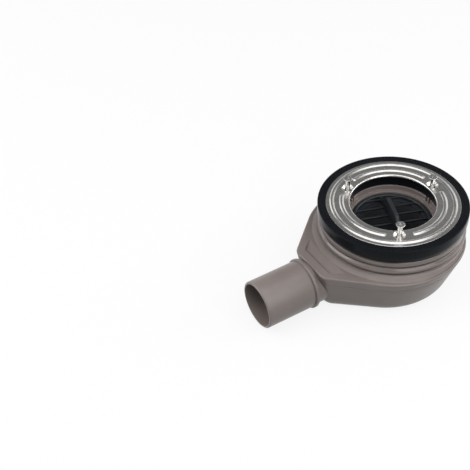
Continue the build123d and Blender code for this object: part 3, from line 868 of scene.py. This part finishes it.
def makeScrews(size):
    blank = makeScrewBlank(size)
    places = [(*place, top) for place, top in zip(screwPoints(), size["tops"])]
    made = newObject("clampScrews", meshOf("clampScrews", places, []))
    runTree(made, *makeScrewTree(), {"Screw": blank, "Finish": screwSteel})
    bpy.data.objects.remove(blank)
    tidyMesh(made.data, size["sharpAngle"])
    finishPiece(made, screwSteel, "clamp_screws")


makeScrews(screw)


# strainer: rim, slats put across it by Geometry Nodes, and a spine that rises to the grip fin

strainer = dict(rim=dipTube["rim"], rimWidth=3.2, low=dipTube["rimTop"], rimTop=50.0, outerDrop=1.0,
                outerBevel=0.8, bevel=1.0, edge=0.3, slatPitch=10.6, slatCount=6, slatWidth=1.6,
                slatHeight=1.9, slatLap=1.2, gripWidth=3.2, gripSpan=24.0, gripTop=12.2, gripHeight=13.5,
                gripRounding=4.0, gripFoot=1.5, gripLap=0.4, gripTurn=69.0)


def makeSlatTree():
    sizes = (("Count", "Int"), ("Pitch", "Float"), ("Reach", "Float"))
    tree, keys, given = startTree("slatTree", "Slat", sizes)
    count, pitch, reach = given["Count"], given["Pitch"], given["Reach"]
    span = mathOf(tree, "MULTIPLY", mathOf(tree, "SUBTRACT", count, 1.0), pitch)
    start = addNode(tree, "ShaderNodeCombineXYZ", {"Y": mathOf(tree, "MULTIPLY", span, -0.5)})
    step = addNode(tree, "ShaderNodeCombineXYZ", {"Y": pitch})
    inputs = {"Count": count, "Start Location": start.outputs["Vector"], "Offset": step.outputs["Vector"]}
    line = addNode(tree, "GeometryNodeMeshLine", inputs)
    across = axesOf(tree, addNode(tree, "GeometryNodeInputPosition").outputs["Position"])["Y"]
    acrossSquare, reachSquare = (mathOf(tree, "MULTIPLY", value, value) for value in (across, reach))
    chord = mathOf(tree, "SQRT", mathOf(tree, "SUBTRACT", reachSquare, acrossSquare))  # a slat's half length
    scale = addNode(tree, "ShaderNodeCombineXYZ", {"X": chord, "Y": 1.0, "Z": 1.0})
    inputs = {"Points": line.outputs["Mesh"], "Instance": given["Slat"], "Scale": scale.outputs["Vector"]}
    endTree(tree, given, addNode(tree, "GeometryNodeInstanceOnPoints", inputs).outputs["Instances"])
    return tree, keys


def barLine(half, top, edge, steps):  # section of a bar with rounded upper edges
    return roundCorners([(-half, 0, 0.2), (half, 0, 0.2), (half, top, edge), (-half, top, edge)], steps)


def slatMesh(size):  # one metre to either side along X, which the tree scales to the chord
    line = barLine(size["slatWidth"] / 2, size["slatHeight"], 0.35, 3)
    return prismMesh("slat", [[(x / mm, y, z) for y, z in line] for x in (-1, 1)])


def gripMesh(size):  # tall fin along Y, rising from a flat spine
    low, rounding, foot, span, end = pick(size, "slatHeight gripRounding gripFoot gripSpan gripTop")
    reach = size["rim"] - size["rimWidth"] / 2 - size["gripLap"]
    crest = low + size["gripHeight"]
    corners = [(-reach, low, 0), (-span, low, foot), (-end, crest, rounding), (end, crest, rounding),
               (span, low, foot), (reach, low, 0)]
    columns = []
    for y, height in roundCorners(corners, 8):
        edge = 0.25 + 0.85 * (height - low) / size["gripHeight"]  # rounder towards the crest
        columns.append([(x, y, z) for x, z in barLine(size["gripWidth"] / 2, height, edge, 4)])
    return prismMesh("grip", columns)


def makeStrainer(size):
    rimRadius, low, top, bevel, edge = pick(size, "rim low rimTop bevel edge")
    inner = rimRadius - size["rimWidth"]
    corners = [(inner, low), (rimRadius, low), (rimRadius, top - size["outerDrop"]),
               (rimRadius - size["outerBevel"], top), (inner + bevel, top), (inner, top - bevel)]
    line = roundCorners([(r, z, edge) for r, z in corners], 4)
    rim = turnRound("strainerRim", line, strainerPlastic, 160)
    slats = newObject("strainerSlats", slatMesh(size))
    values = {"Count": size["slatCount"], "Pitch": size["slatPitch"] * mm,
              "Reach": (inner + size["slatLap"]) * mm, "Finish": strainerPlastic}
    runTree(slats, *makeSlatTree(), values)
    grip = gripMesh(size)
    spin = Matrix.Rotation(math.radians(size["gripTurn"] - 90), 4, "Z")
    for mesh in (grip, slats.data):
        mesh.transform(Matrix.Translation((0, 0, low * mm)) @ spin)
    meshes = [rim.data, slats.data, grip]
    bpy.data.objects.remove(rim)
    bpy.data.objects.remove(slats)
    made = newObject("throatStrainer", tidyMesh(joinMeshes("throatStrainer", meshes)))
    finishPiece(made, strainerPlastic, "strainer")


makeStrainer(strainer)


# hidden pieces keep their own solids

for nodeName, finish in (("screw_inserts", brass), ("dip_tube_seal", rubber)):
    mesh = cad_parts[nodeName].data
    mesh.materials.clear()
    mesh.materials.append(finish)
print("hidden pieces finished")


# floor, light and camera, in m

floorSize = dict(half=6, wallHeight=2, bounce=0.18, matt=0.9, glow=0.85)


def makeFloor(size):
    half = size["half"]
    corners = [(-half, -half), (half, -half), (half, half), (-half, half)]
    points = [(x, y, z) for z in (0, size["wallHeight"]) for x, y in corners]  # a backdrop round the floor
    walls = [(i, i + 4, (i + 1) % 4 + 4, (i + 1) % 4) for i in range(4)]
    mesh = bpy.data.meshes.new("floor")
    mesh.from_pydata(points, [], [(0, 1, 2, 3)] + walls)
    floor = newObject("floor", mesh)
    material = bpy.data.materials.new("paleFloor")
    material.use_nodes = True
    tree = material.node_tree
    tree.nodes.clear()
    path = addNode(tree, "ShaderNodeLightPath").outputs
    seen = mathOf(tree, "MAXIMUM", path["Is Camera Ray"], path["Is Glossy Ray"])
    seen = mathOf(tree, "MAXIMUM", seen, path["Is Transmission Ray"])
    greys = [(size[name], size[name], size[name], 1) for name in ("bounce", "matt")]
    bounce, matt = (addNode(tree, "ShaderNodeBsdfDiffuse", {"Color": grey}).outputs["BSDF"] for grey in greys)
    white = addNode(tree, "ShaderNodeEmission", {"Color": (1, 1, 1, 1), "Strength": 1.0}).outputs["Emission"]
    shown = addNode(tree, "ShaderNodeMixShader", {0: size["glow"], 1: matt, 2: white}).outputs["Shader"]
    blend = addNode(tree, "ShaderNodeMixShader", {0: seen, 1: bounce, 2: shown}).outputs["Shader"]
    addNode(tree, "ShaderNodeOutputMaterial", {"Surface": blend})
    mesh.materials.append(material)


potMiddle = (0, 0, 0.04)


def makeLamp(name, place, size, power, target=potMiddle, turn=0):
    lamp = bpy.data.lights.new(name, "AREA")
    lamp.shape = "RECTANGLE"
    lamp.size, lamp.size_y = size
    lamp.energy = power
    made = newObject(name, lamp)
    made.location = place
    made.rotation_mode = "QUATERNION"
    aim = (Vector(target) - Vector(place)).to_track_quat("-Z", "Y")
    made.rotation_quaternion = aim @ Quaternion((0, 0, 1), math.radians(turn))


def makeWorld(strength):
    world = bpy.data.worlds.new("studio")
    scene.world = world
    world.use_nodes = True
    tree = world.node_tree
    feed(tree, tree.nodes["Background"], {"Color": (1, 1, 1, 1), "Strength": strength})


photoCamera = dict(place=(-0.37888, -0.43054, 0.53760), right=(0.8803, -0.4744, 0),
                   forward=(0.3548, 0.6584, -0.6638), roll=3.74, nudge=0.000556, lens=68.94, sensor=36)


def makeCamera(view):
    roll, nudge = math.radians(view["roll"]), view["nudge"]
    right = Vector(view["right"]).normalized()
    forward = Vector(view["forward"]).normalized()
    up = right.cross(forward)
    camRight = right * math.cos(roll) - up * math.sin(roll)
    camUp = right * math.sin(roll) + up * math.cos(roll)
    forward = (forward - camRight * nudge + camUp * nudge).normalized()
    camRight = forward.cross(camUp).normalized()
    camUp = camRight.cross(forward)
    data = bpy.data.cameras.new("photoCamera")
    data.lens = view["lens"]
    data.sensor_width = view["sensor"]
    made = newObject("photoCamera", data)
    turn = Matrix((camRight, camUp, -forward)).transposed()
    made.matrix_world = Matrix.Translation(view["place"]) @ turn.to_4x4()
    scene.camera = made


makeFloor(floorSize)
makeWorld(0.2)
makeLamp("topSoftbox", (-0.46, 0.01, 1.3), size=(2.4, 1.3), power=13.2, target=(-0.38, 0.16, 0.04))
makeLamp("frontSoftbox", (0.06, -1.1, 0.85), size=(1.1, 1.0), power=7.0)
makeLamp("rightStrip", (1.06, -0.45, 0.62), size=(1.0, 0.2), power=5.0, turn=-35)
makeLamp("leftStrip", (-1.05, 0.6, 0.62), size=(1.0, 0.4), power=4.5, target=(-0.02, 0, 0.04), turn=35)
makeLamp("backRightSoftbox", (1.15, 0.4, 0.55), size=(0.8, 0.6), power=0.7)
makeLamp("backLeftSoftbox", (-0.4, 1.15, 0.55), size=(0.8, 0.6), power=1.6)
makeCamera(photoCamera)
scene.view_settings.view_transform = "Standard"
print("stage set")
